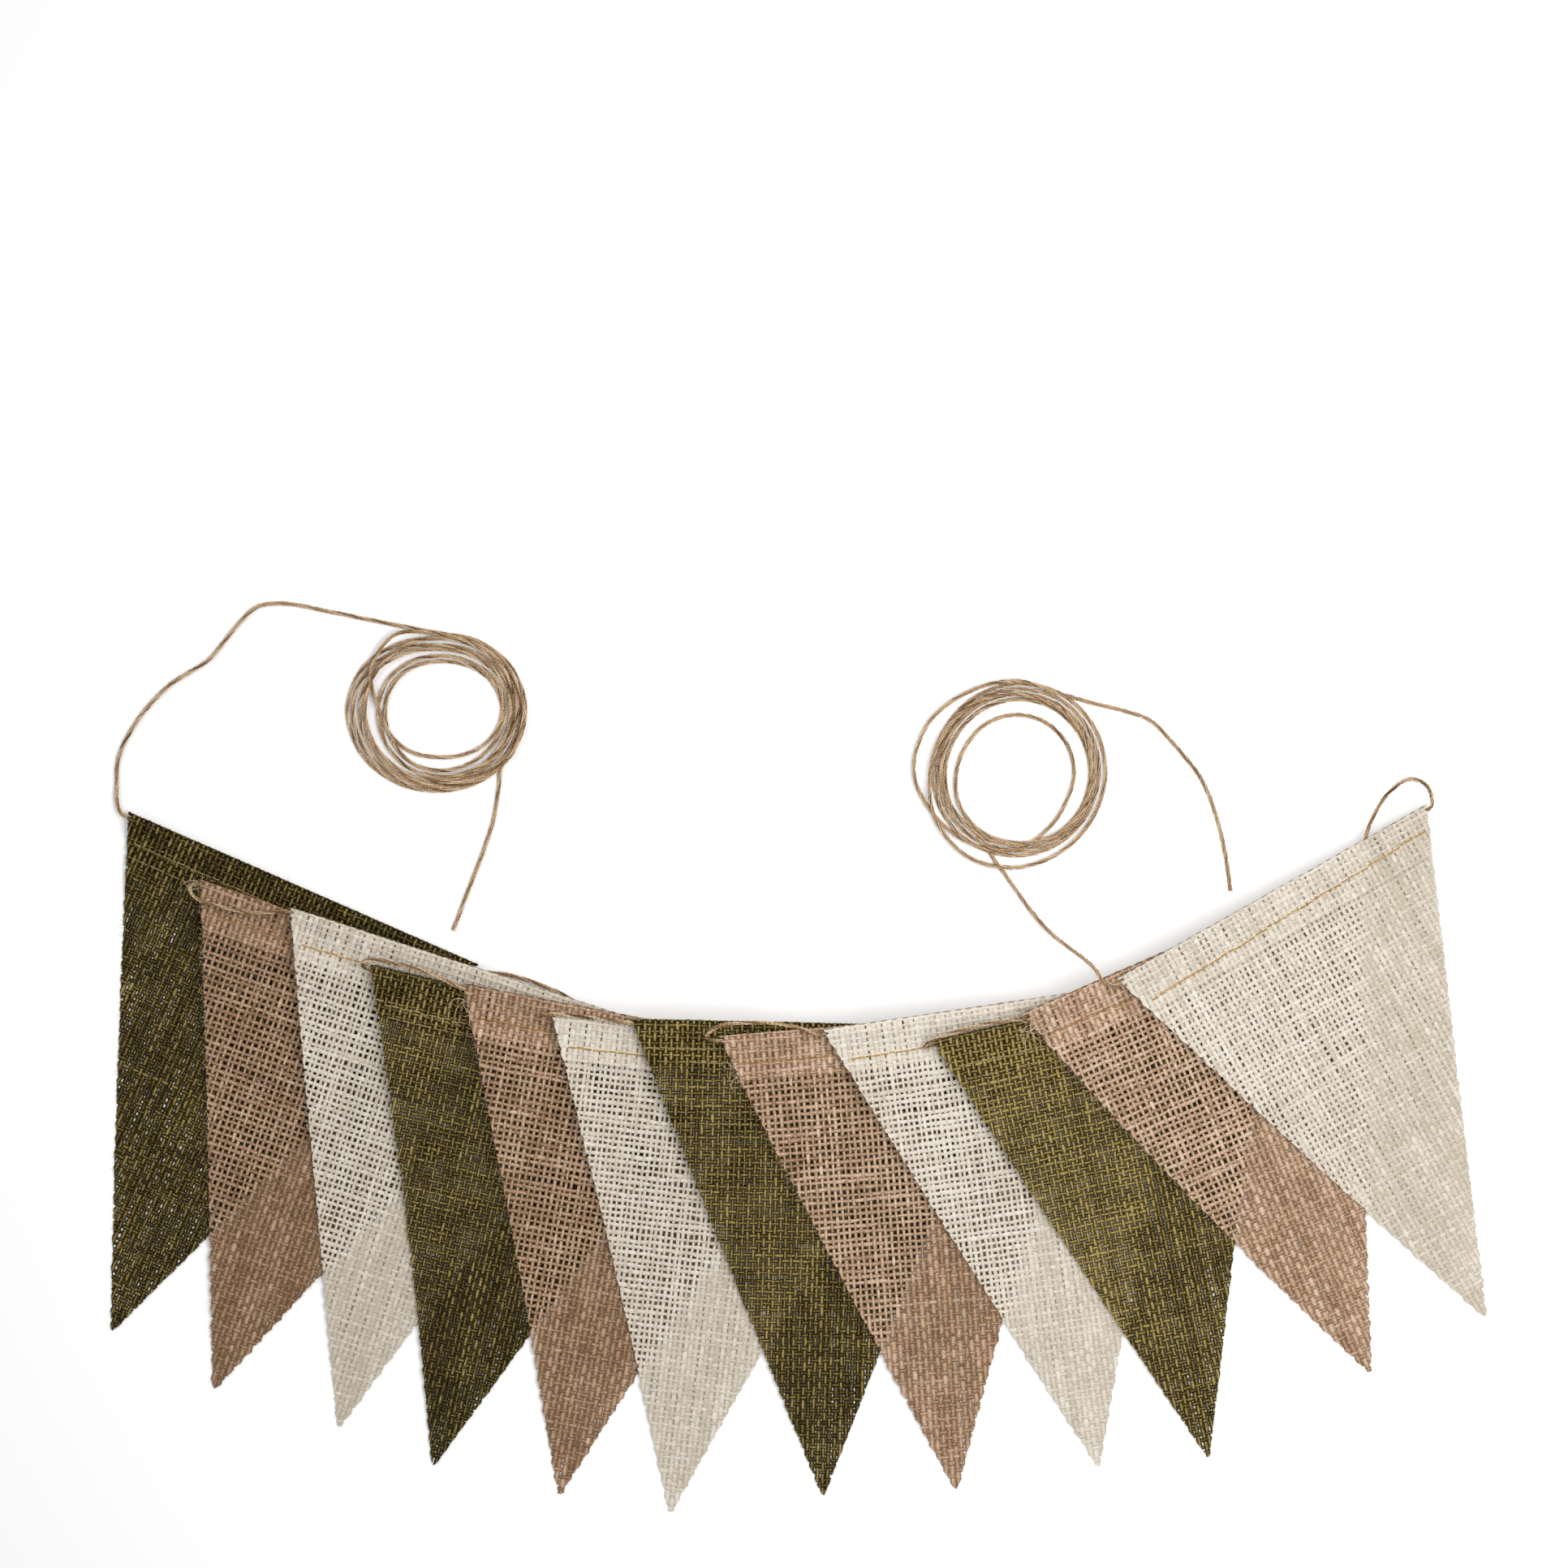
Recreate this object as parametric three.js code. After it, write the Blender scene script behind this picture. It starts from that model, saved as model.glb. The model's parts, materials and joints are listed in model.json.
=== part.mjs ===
// Fabric bunting: twelve hessian pennants on one jute twine, laid out as an overlapping fan.
// Millimetres, +Z up. The pennants rest on z = 0, and their box is centred on x = 0, y = 0.
import * as THREE from 'three';

// Cloth
const CLOTH = 1.0;         // thickness of the hessian
const TIP = 2.5;           // blunt width of a pennant's point
const HEM = 18;            // depth of the cloth that is turned over at the heading
const LAYER_GAP = 0.3;     // between the two layers of a heading
const EASE = 2.5;          // cloth stays up this far past the hem's raw edge
const EASE_RUN = 15.5;     // and comes down to the single layer over this length
const FLATTEN = 8;         // a heading's upper layer comes down from its fold over this length
const HEM_ROW = 10;        // depth of a row of points half way down a hem

// Twine
const TWINE = 1.8;         // diameter
const TWINE_SIDES = 8;
const FOLD_CLEAR = 0.45;   // between the twine and the fold round it
const MOUTH_CLEAR = 1;     // a link's points start this far out of a heading's mouth
const MOUTH_RADIUS = 0.6;  // or this far from the line of the twine in it

// How the fan is stacked: each pennant lifts those laid after it
const HEAD_PITCH = 5.4;    // at the headings
const BODY_PITCH = 1.75;   // below them
const HEAD_DEPTH = 36, HEAD_RUN = 76;   // where the pitch starts to change, and over what length
const EDGE_CLEAR = 3;      // the cloth above stays up this far past a right edge
const HEAD_FALL = 76, BODY_FALL = 40;   // then it falls to the next level over this length

// Mesh
const COLUMNS = 8;
const ARC_STEPS = 6;
const BODY_ROWS = [50, 64, 79, 95, 113, 143];   // depths below the fold

const COLOURS = { green: '#5a5426', brown: '#a5866b', cream: '#e2d9c9', twine: '#a68a69' };

// x, y: left end of the fold. turn: degrees from +X. base: width at the fold.
// tip: how far along the fold the point lies. drop: depth of the point below the fold.
// bow: how far the left edge bends in, or out if under 0, half way down.
const PENNANTS = [
  { colour: 'green', x: -248.4, y: 128.3, turn: -23.6, base: 142, tip: 71.6, drop: 179.4, bow: -0.8 },
  { colour: 'brown', x: -221.4, y: 103.2, turn: -19.0, base: 144, tip: 66.0, drop: 177.8, bow: 0.4 },
  { colour: 'cream', x: -187.8, y: 93.0, turn: -18.0, base: 137, tip: 76.2, drop: 178.4, bow: -0.5 },
  { colour: 'green', x: -158.0, y: 72.1, turn: -13.7, base: 139, tip: 66.2, drop: 176.2, bow: 1.6 },
  { colour: 'brown', x: -123.6, y: 65.1, turn: -11.2, base: 142, tip: 71.2, drop: 180.1, bow: 0.8 },
  { colour: 'cream', x: -91.2, y: 54.9, turn: -7.0, base: 141, tip: 66.1, drop: 180.0, bow: 0.9 },
  { colour: 'green', x: -61.5, y: 52.2, turn: -1.5, base: 139, tip: 75.3, drop: 176.0, bow: -0.8 },
  { colour: 'brown', x: -29.7, y: 45.9, turn: 4.5, base: 137, tip: 74.6, drop: 175.9, bow: -1.3 },
  { colour: 'cream', x: 8.7, y: 48.3, turn: 8.2, base: 136, tip: 78.2, drop: 176.1, bow: -0.8 },
  { colour: 'green', x: 48.9, y: 44.1, turn: 12.5, base: 128, tip: 67.0, drop: 174.2, bow: -0.6 },
  { colour: 'brown', x: 81.6, y: 54.0, turn: 23.2, base: 135, tip: 67.1, drop: 174.6, bow: -2.6 },
  { colour: 'cream', x: 116.7, y: 66.9, turn: 29.0, base: 132, tip: 59.5, drop: 177.4, bow: -0.8 },
];

// Links between neighbours, from the first pair on, at right and left ends in turn.
// bow: how far the link swings out above the folds. reach: how far it goes past the outer mouth.
const LINKS = [
  { bow: 4.5, reach: 5 }, { bow: -5.5, reach: 3.4 }, { bow: 1.5, reach: 5 }, { bow: 4.0, reach: 4 },
  { bow: 1.5, reach: 5 }, { bow: 1.0, reach: 4 }, { bow: 1.5, reach: 5 }, { bow: 6.0, reach: 5 },
  { bow: 1.5, reach: 5 }, { bow: 2.5, reach: 4 }, { bow: 13.5, reach: 4.5 },
];
// along: share of the way between the mouths. past: share of the reach. out: share of the bow.
// up: height over the upper pennant's underside (right ends) or the lower one's (left ends).
const RIGHT_LINK = [
  { along: 0.12, past: 0, out: 0.1, up: -2.7 }, { along: 0.36, past: 0, out: 0.7, up: -2.1 },
  { along: 0.7, past: 0, out: 1.05, up: -1.6 }, { along: 0.95, past: 0.35, out: 1.0, up: -1.4 },
  { along: 1.0, past: 1.0, out: 0.6, up: 0.2 }, { along: 1.0, past: 0.75, out: 0.12, up: 1.9 },
];
const LEFT_LINK = [
  { along: 0, past: 0.75, out: 0.1, up: 2.7 }, { along: 0, past: 1.0, out: 0.45, up: 4.4 },
  { along: 0.02, past: 0.3, out: 0.9, up: 5.8 }, { along: 0.3, past: 0, out: 1.0, up: 6.0 },
  { along: 0.65, past: 0, out: 0.7, up: 6.7 }, { along: 0.88, past: 0, out: 0.15, up: 7.3 },
];

// Coils lie flat on the surface. rx, ry: middle of the bundle. wide, high: its section.
// lean: angle, in radians, at which the bundle is widest.
const COILS = {
  left: { x: -134.1, y: 165.6, rx: 26.9, ry: 24.2, wide: 11.6, high: 5.0, lean: 2.1 },
  right: { x: 81.0, y: 142.5, rx: 26.6, ry: 26.6, wide: 10.8, high: 5.0, lean: 0.4 },
};
const COIL_SWELL = 0.12;    // share by which the bundle widens there
const COIL_STEPS = 36, COIL_SIDES = 10;

// Free twine on the surface: x, y and height of the middle line.
const LEAD_LEFT = [[-252.7, 131.2, 1.7], [-252.8, 139, 0.97], [-252.3, 147.3, 0.92],
  [-245.7, 160.8, 0.9], [-233.7, 174.3, 0.9], [-218.7, 184.2, 0.9], [-208.2, 196.8, 0.9],
  [-200.7, 203.7, 0.9], [-190.2, 204.9, 0.9], [-175.2, 202.2, 0.9], [-158, 198.7, 0.9],
  [-140.9, 195.9, 0.9]];
const TAIL_LEFT = [[-109.8, 144.4, 0.9], [-111.3, 136, 0.9], [-113.1, 125, 0.9], [-116.4, 114.5, 0.9],
  [-122.5, 98.5, 0.9], [-128.1, 83.7, 0.9]];
const LEAD_RIGHT = [[112.4, 65.0, 30.0], [109.2, 69.6, 28.6], [105.4, 73.4, 22.5],
  [99.8, 77.6, 13.5], [93, 83.2, 5.5], [86, 91.2, 1.6], [79, 101, 0.94], [71.6, 111.7, 0.9]];
const TAIL_RIGHT = [[101.5, 168.2, 0.9], [109, 168, 0.9], [120, 165.3, 0.9], [130.2, 161.7, 0.9],
  [141.3, 150.3, 0.9], [149.4, 139.8, 0.9], [154.8, 126.3, 0.9], [158.4, 111.3, 0.9], [160.2, 98.4, 0.9]];
const FREE_STEP = 5.5;      // between rings of a free tube
const LINK_STEP = 3.2;      // and of a link
const JOIN_GAP = 0.65;      // between a tube's end and the next length of twine
const STRAIGHT = 1.8;       // the twine leaves a mouth in line for this length
const CENTRE_Y = 4.4;       // middle of the box in y, before it is moved to 0

const rad = THREE.MathUtils.degToRad;
const ease = (t) => THREE.MathUtils.smoothstep(t, 0, 1);
const halfCloth = CLOTH / 2;
const foldRadius = TWINE / 2 + FOLD_CLEAR + halfCloth;   // to the middle of the cloth
const foldCentre = foldRadius + halfCloth;               // depth, and height, of the twine in a heading
const upperLayer = CLOTH * 1.5 + LAYER_GAP;              // middle of a heading's upper layer

// A pennant's own axes: along its fold, and down from it
function place(p, along, down) {
  const c = Math.cos(rad(p.turn)), s = Math.sin(rad(p.turn));
  return [p.x + along * c + down * s, p.y + along * s - down * c];
}
function local(p, x, y) {
  const c = Math.cos(rad(p.turn)), s = Math.sin(rad(p.turn));
  return [(x - p.x) * c + (y - p.y) * s, (x - p.x) * s - (y - p.y) * c];
}
const leftEdge = (p, down) => (p.tip - TIP / 2 + 4 * p.bow * (1 - down / p.drop)) * down / p.drop;
const rightEdge = (p, down) => p.base - (p.base - p.tip - TIP / 2) * down / p.drop;

// How far one pennant lifts the cloth over it at a point
function layer(p, x, y) {
  const [along, down] = local(p, x, y);
  const inset = p.base - p.tip - TIP / 2;
  const beyond = ((along - p.base) * p.drop + down * inset) / Math.hypot(p.drop, inset);
  const body = ease((down - HEAD_DEPTH) / HEAD_RUN);
  const pitch = HEAD_PITCH + (BODY_PITCH - HEAD_PITCH) * body;
  const fall = HEAD_FALL + (BODY_FALL - HEAD_FALL) * body;
  return pitch * (1 - ease((beyond - EDGE_CLEAR) / fall));
}
const lift = (i, x, y) => PENNANTS.slice(0, i).reduce((sum, p) => sum + layer(p, x, y), 0);

// Middle line of the folded cloth, as depth and height, from one end of the sheet to the other.
// Every second pennant is turned the other way up, with its hem on top.
function profile(p, hemOnTop) {
  const over = Math.atan2(foldCentre + foldRadius - upperLayer, FLATTEN);
  const arc = [];
  for (let k = 0; k <= ARC_STEPS; k++) {
    const a = -Math.PI / 2 - (Math.PI + over) * k / ARC_STEPS;
    arc.push([foldCentre + foldRadius * Math.cos(a), foldCentre + foldRadius * Math.sin(a)]);
  }
  const leave = arc[ARC_STEPS];
  const settle = leave[0] + (leave[1] - upperLayer) / Math.tan(over);
  const ends = HEM + EASE, halfDown = ends + EASE_RUN / 2;
  const low = (depth) => [depth, halfCloth];
  const single = [ends + EASE_RUN, ...BODY_ROWS, p.drop].map(low);
  if (hemOnTop) {
    const under = [...[HEM_ROW, ends, halfDown].map(low), ...single];
    return [...under.reverse(), ...arc, [settle, upperLayer], [HEM, upperLayer]];
  }
  return [low(HEM), low(HEM_ROW), ...arc, [settle, upperLayer], [ends, upperLayer],
    [halfDown, (upperLayer + halfCloth) / 2], ...single];
}

// Turns a mesh the right way out if its volume comes out negative
function outward(g) {
  const v = g.attributes.position, n = g.index.array;
  const a = new THREE.Vector3(), b = new THREE.Vector3(), c = new THREE.Vector3();
  let volume = 0;
  for (let k = 0; k < n.length; k += 3) {
    a.fromBufferAttribute(v, n[k]);
    b.fromBufferAttribute(v, n[k + 1]);
    c.fromBufferAttribute(v, n[k + 2]);
    volume += a.dot(b.cross(c));
  }
  if (volume < 0) {
    for (let k = 0; k < n.length; k += 3) [n[k], n[k + 1]] = [n[k + 1], n[k]];
  }
  g.computeVertexNormals();
  return g;
}

// One pennant: a flat box bent along its profile and laid on those below it
function pennant(i) {
  const p = PENNANTS[i], line = profile(p, i % 2 === 1);
  const rows = line.length - 1;
  const g = new THREE.BoxGeometry(1, 1, 1, COLUMNS, rows, 1);
  const pos = g.attributes.position;
  for (let k = 0; k < pos.count; k++) {
    const s = pos.getX(k) + 0.5, r = Math.round((pos.getY(k) + 0.5) * rows), side = Math.sign(pos.getZ(k));
    const before = line[Math.max(r - 1, 0)], after = line[Math.min(r + 1, rows)], [d, h] = line[r];
    const inward = [d - before[0], h - before[1]], onward = [after[0] - d, after[1] - h];
    const li = Math.hypot(...inward) || 1, lo = Math.hypot(...onward) || 1;
    let t = [inward[0] / li + onward[0] / lo, inward[1] / li + onward[1] / lo];
    const lt = Math.hypot(...t);
    t = [t[0] / lt, t[1] / lt];
    const miter = halfCloth / (li && lo && r > 0 && r < rows ? lt / 2 : 1);
    const down = d - side * miter * t[1], high = h + side * miter * t[0];
    const along = leftEdge(p, down) + s * (rightEdge(p, down) - leftEdge(p, down));
    const [x, y] = place(p, along, down);
    pos.setXYZ(k, x, y, lift(i, x, y) + high);
  }
  return outward(g);
}

// A tube along points, with a ring at each
function tube(points) {
  const rings = points.length - 1;
  const g = new THREE.CylinderGeometry(1, 1, 1, TWINE_SIDES, rings);
  const tangents = points.map((p, k) => {
    const before = points[Math.max(k - 1, 0)], after = points[Math.min(k + 1, rings)];
    const a = p.clone().sub(before).normalize(), b = after.clone().sub(p).normalize();
    return a.add(b).normalize();
  });
  const frames = [];
  let normal = new THREE.Vector3(0, 0, 1);
  for (const t of tangents) {
    normal = normal.clone().addScaledVector(t, -normal.dot(t)).normalize();
    frames.push([normal, new THREE.Vector3().crossVectors(t, normal)]);
  }
  const pos = g.attributes.position, at = new THREE.Vector3();
  for (let k = 0; k < pos.count; k++) {
    const r = Math.round((pos.getY(k) + 0.5) * rings), [n, b] = frames[r];
    at.copy(points[r]).addScaledVector(n, pos.getX(k) * TWINE / 2);
    at.addScaledVector(b, pos.getZ(k) * TWINE / 2);
    pos.setXYZ(k, at.x, at.y, at.z);
  }
  return outward(g);
}
const smooth = (points, step) => {
  const curve = new THREE.CatmullRomCurve3(points, false, 'centripetal');
  return curve.getSpacedPoints(Math.max(4, Math.round(curve.getLength() / step)));
};

// A point straight on from the end of a length of twine
const past = (end, before, by) => end.clone().addScaledVector(end.clone().sub(before).normalize(), by);

// Points of the twine inside one heading, from its left mouth to its right
function inHeading(i) {
  const p = PENNANTS[i], from = leftEdge(p, foldCentre), to = rightEdge(p, foldCentre);
  return Array.from({ length: COLUMNS + 1 }, (_, k) => {
    const [x, y] = place(p, from + (to - from) * k / COLUMNS, foldCentre);
    return new THREE.Vector3(x, y, lift(i, x, y) + foldCentre);
  });
}

// A link from pennant i to the next: right ends for even i, left ends for odd i
function link(i, start, end) {
  const right = i % 2 === 0, upper = PENNANTS[i + 1], { bow, reach } = LINKS[i];
  const level = right ? i + 1 : i;
  const turn = rad(upper.turn), outAlong = right ? 1 : -1;
  const ahead = new THREE.Vector3(Math.cos(turn) * outAlong, Math.sin(turn) * outAlong, 0);
  const aside = new THREE.Vector3(-Math.sin(turn), Math.cos(turn), 0);
  return (right ? RIGHT_LINK : LEFT_LINK).map(({ along, past, out, up }) => {
    const at = start.clone().lerp(end, along);
    at.addScaledVector(ahead, past * reach).addScaledVector(aside, out * bow);
    at.z = Math.max(lift(level, at.x, at.y) + up, TWINE / 2);
    return at;
  });
}

// Whether a point lies in a heading's mouth, with the heading's next point inside it
function inMouth(q, mouth, inside) {
  const out = mouth.clone().sub(inside).normalize();
  const from = q.clone().sub(mouth), ahead = from.dot(out);
  return ahead < MOUTH_CLEAR && from.addScaledVector(out, -ahead).length() < MOUTH_RADIUS;
}

// The twine through every heading and link, in one length
function twineRun() {
  const points = [];
  PENNANTS.forEach((_, i) => {
    const inside = inHeading(i);
    if (i % 2 === 1) inside.reverse();
    if (i > 0) {
      const start = points[points.length - 1], before = points[points.length - 2];
      const bend = smooth([before, start, past(start, before, STRAIGHT), ...link(i - 1, start, inside[0]),
        past(inside[0], inside[1], STRAIGHT), inside[0], inside[1]], LINK_STEP);
      points.push(...bend.filter((q) => !inMouth(q, start, before) && !inMouth(q, inside[0], inside[1])));
    }
    points.push(...inside);
  });
  return points;
}

// A loose coil, as the outer form of its bundle
function coil({ x, y, rx, ry, wide, high, lean }) {
  const section = Array.from({ length: COIL_SIDES + 1 }, (_, k) => {
    const a = 2 * Math.PI * k / COIL_SIDES;
    return new THREE.Vector2(1 + Math.cos(a), Math.sin(a));
  });
  const g = new THREE.LatheGeometry(section.map((q) => new THREE.Vector2(q.x + 2, q.y)), COIL_STEPS);
  const pos = g.attributes.position;
  for (let k = 0; k < pos.count; k++) {
    const a = Math.atan2(pos.getZ(k), pos.getX(k)), out = Math.hypot(pos.getX(k), pos.getZ(k)) - 3;
    const off = out * wide / 2 * (1 + COIL_SWELL * Math.cos(2 * (a - lean)));
    pos.setXYZ(k, x + (rx + off) * Math.cos(a), y + (ry + off) * Math.sin(a), (pos.getY(k) + 1) * high / 2);
  }
  return outward(g);
}

// A free length of twine, straight on from the end of another where one is given
const vectors = (rows) => rows.map(([x, y, z]) => new THREE.Vector3(x, y, z));
function free(rows, end, before) {
  const points = vectors(rows);
  if (end) points.unshift(past(end, before, JOIN_GAP), past(end, before, JOIN_GAP + STRAIGHT));
  return tube(smooth(points, FREE_STEP));
}

const bunting = new THREE.Group();
bunting.name = 'fabric_bunting';
function add(name, geometry, colour) {
  const material = new THREE.MeshStandardMaterial({ color: COLOURS[colour], roughness: 0.95, metalness: 0 });
  const mesh = new THREE.Mesh(geometry, material);
  mesh.name = name;
  geometry.translate(0, -CENTRE_Y, 0);
  bunting.add(mesh);
}

PENNANTS.forEach((p, i) => {
  const number = String(i + 1).padStart(2, '0');
  add(`pennant_${number}_${p.colour}`, pennant(i), p.colour);
});
const run = twineRun();
add('twine_run', tube(run), 'twine');
add('twine_lead_left', free(LEAD_LEFT, run[0], run[1]), 'twine');
add('twine_coil_left', coil(COILS.left), 'twine');
add('twine_tail_left', free(TAIL_LEFT), 'twine');
add('twine_lead_right', free(LEAD_RIGHT, run[run.length - 1], run[run.length - 2]), 'twine');
add('twine_coil_right', coil(COILS.right), 'twine');
add('twine_tail_right', free(TAIL_RIGHT), 'twine');

export default bunting;
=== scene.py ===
# Fabric bunting: woven hessian pennants and twisted jute twine over the CAD frame.
import json
import math

import bpy
import numpy as np
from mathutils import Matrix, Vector

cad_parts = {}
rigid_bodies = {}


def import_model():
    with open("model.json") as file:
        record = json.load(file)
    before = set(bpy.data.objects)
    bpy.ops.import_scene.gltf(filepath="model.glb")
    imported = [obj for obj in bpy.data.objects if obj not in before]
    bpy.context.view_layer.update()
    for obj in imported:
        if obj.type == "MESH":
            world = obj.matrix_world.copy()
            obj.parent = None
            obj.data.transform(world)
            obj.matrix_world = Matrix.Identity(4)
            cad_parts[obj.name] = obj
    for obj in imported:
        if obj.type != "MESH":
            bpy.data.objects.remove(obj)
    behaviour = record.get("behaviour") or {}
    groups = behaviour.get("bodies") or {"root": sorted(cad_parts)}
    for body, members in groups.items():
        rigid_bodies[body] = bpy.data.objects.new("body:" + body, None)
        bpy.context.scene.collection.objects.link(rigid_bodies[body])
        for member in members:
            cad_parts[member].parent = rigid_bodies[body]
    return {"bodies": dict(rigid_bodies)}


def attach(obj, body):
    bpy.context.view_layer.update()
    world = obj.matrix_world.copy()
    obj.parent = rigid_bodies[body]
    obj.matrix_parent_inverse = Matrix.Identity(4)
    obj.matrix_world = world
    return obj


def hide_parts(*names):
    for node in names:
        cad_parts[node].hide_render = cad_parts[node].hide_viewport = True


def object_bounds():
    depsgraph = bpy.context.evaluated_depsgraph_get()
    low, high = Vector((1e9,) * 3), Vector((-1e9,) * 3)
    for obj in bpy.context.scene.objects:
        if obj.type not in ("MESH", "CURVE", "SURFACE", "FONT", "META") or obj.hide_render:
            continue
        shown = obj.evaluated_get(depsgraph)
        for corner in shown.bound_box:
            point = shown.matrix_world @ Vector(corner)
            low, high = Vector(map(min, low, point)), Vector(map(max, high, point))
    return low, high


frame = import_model()
cad_low, cad_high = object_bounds()
BODY = next(iter(frame["bodies"]))
MM = 0.001
rng = np.random.default_rng(12)

# Cloth and twine in millimetres, as in the part's source
CLOTH = 1.0                             # thickness of a sheet
TIP = 2.5                               # blunt width of a solid's point
HEM = 18.0                              # depth of the cloth that is turned over at the heading
LAYER_GAP = 0.3                         # between the two layers of a heading
EASE = 2.5                              # cloth stays up this far past the hem's raw edge
EASE_RUN = 15.5                         # and comes down to the single layer over this length
FLATTEN = 8.0                           # a heading's upper layer comes down from its fold over this length
TWINE = 1.8                             # diameter of the twine
FOLD_CLEAR = 0.45                       # between the twine and the fold round it
HALF = CLOTH / 2
FOLD_R = TWINE / 2 + FOLD_CLEAR + HALF  # of the middle of the cloth round the twine
FOLD_C = FOLD_R + HALF                  # height of the twine, and its depth below the fold
UPPER = CLOTH * 1.5 + LAYER_GAP         # height of the middle of a heading's upper layer

# How the fan is stacked: each pennant lifts those laid after it
HEAD_PITCH, BODY_PITCH = 5.4, 1.75      # at the headings, and below them
HEAD_DEPTH, HEAD_RUN = 36.0, 76.0       # where the pitch starts to change, and over what length
EDGE_CLEAR = 3.0                        # the cloth above stays up this far past a right edge
HEAD_FALL, BODY_FALL = 76.0, 40.0       # then it falls to the next level over this length
CENTRE_Y = 4.4                          # y of the frame's origin, in the places below

# Cloth as it is woven here
POINT = 1.0                             # width of a woven point
FOLD_POINTS = 19                        # points round a fold
SECTION_STEP = 0.4                      # between points down a pennant
EDGE_POINTS = 200                       # points down a cut edge
BARE_RUN, BARE_START = 5.0, 0.3         # how fast cloth settles past the pennants under it
FLAT_PAST, FLAT_RUN = 2.0, 3.0          # warps stay flat this far past the hem, and change over this length

# x, y: left end of the fold. turn: degrees. base: width at the fold. tip, drop: place and depth of the point.
# bow: how far the left edge bends in
COLUMNS = ("colour", "x", "y", "turn", "base", "tip", "drop", "bow")
PENNANTS = [dict(zip(COLUMNS, row)) for row in (
    ("green", -248.4, 128.3, -23.6, 142, 71.6, 179.4, -0.8),
    ("brown", -221.4, 103.2, -19.0, 144, 66.0, 177.8, 0.4),
    ("cream", -187.8, 93.0, -18.0, 137, 76.2, 178.4, -0.5),
    ("green", -158.0, 72.1, -13.7, 139, 66.2, 176.2, 1.6),
    ("brown", -123.6, 65.1, -11.2, 142, 71.2, 180.1, 0.8),
    ("cream", -91.2, 54.9, -7.0, 141, 66.1, 180.0, 0.9),
    ("green", -61.5, 52.2, -1.5, 139, 75.3, 176.0, -0.8),
    ("brown", -29.7, 45.9, 4.5, 137, 74.6, 175.9, -1.3),
    ("cream", 8.7, 48.3, 8.2, 136, 78.2, 176.1, -0.8),
    ("green", 48.9, 44.1, 12.5, 128, 67.0, 174.2, -0.6),
    ("brown", 81.6, 54.0, 23.2, 135, 67.1, 174.6, -2.6),
    ("cream", 116.7, 66.9, 29.0, 132, 59.5, 177.4, -0.8),
)]

# Links between neighbours, at right and left ends in turn: how far each swings out, and how far it reaches
# past the outer mouth
LINKS = (
    (4.5, 5), (-5.5, 3.4), (1.5, 5), (4.0, 4), (1.5, 5), (1.0, 4),
    (1.5, 5), (6.0, 5), (1.5, 5), (2.5, 4), (13.5, 4.5),
)
# Share of the way between the mouths, share of the reach, share of the swing, height over the cloth
RIGHT_LINK = (
    (0.12, 0, 0.1, -2.7), (0.36, 0, 0.7, -2.1), (0.7, 0, 1.05, -1.6),
    (0.95, 0.35, 1.0, -1.4), (1.0, 1.0, 0.6, 0.2), (1.0, 0.75, 0.12, 1.9),
)
LEFT_LINK = (
    (0, 0.75, 0.1, 2.7), (0, 1.0, 0.45, 4.4), (0.02, 0.3, 0.9, 5.8),
    (0.3, 0, 1.0, 6.0), (0.65, 0, 0.7, 6.7), (0.88, 0, 0.15, 7.3),
)
HEADING_STEPS = 8                       # stretches of twine in a heading
STRAIGHT = 1.8                          # twine goes on straight this far past a mouth
JOIN_GAP = 0.65                         # between a heading's twine and its free end

# Free twine: x, y and height of its middle
LEAD_LEFT = (
    (-252.7, 131.2, 1.7), (-252.8, 139, 0.97), (-252.3, 147.3, 0.92), (-245.7, 160.8, 0.9),
    (-233.7, 174.3, 0.9), (-218.7, 184.2, 0.9), (-208.2, 196.8, 0.9), (-200.7, 203.7, 0.9),
    (-190.2, 204.9, 0.9), (-175.2, 202.2, 0.9), (-158, 198.7, 0.9),
)
TAIL_LEFT = (
    (-110.1, 144.6, 1.3), (-111.3, 136, 0.9), (-113.1, 125, 0.9), (-116.4, 114.5, 0.9),
    (-122.5, 98.5, 0.9), (-128.1, 83.7, 0.9),
)
LEAD_RIGHT = (
    (112.4, 65.0, 30.0), (109.2, 69.6, 28.6), (105.4, 73.4, 22.5), (99.8, 77.6, 13.5),
    (93, 83.2, 5.5), (86, 91.2, 1.6), (79, 101, 0.94), (72.6, 110, 0.9),
)
TAIL_RIGHT = (
    (104.8, 169.2, 1.4), (109, 168, 1.0), (120, 165.3, 0.9), (130.2, 161.7, 0.9), (141.3, 150.3, 0.9),
    (149.4, 139.8, 0.9), (154.8, 126.3, 0.9), (158.4, 111.3, 0.9), (160.2, 98.4, 0.9),
)

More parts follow.
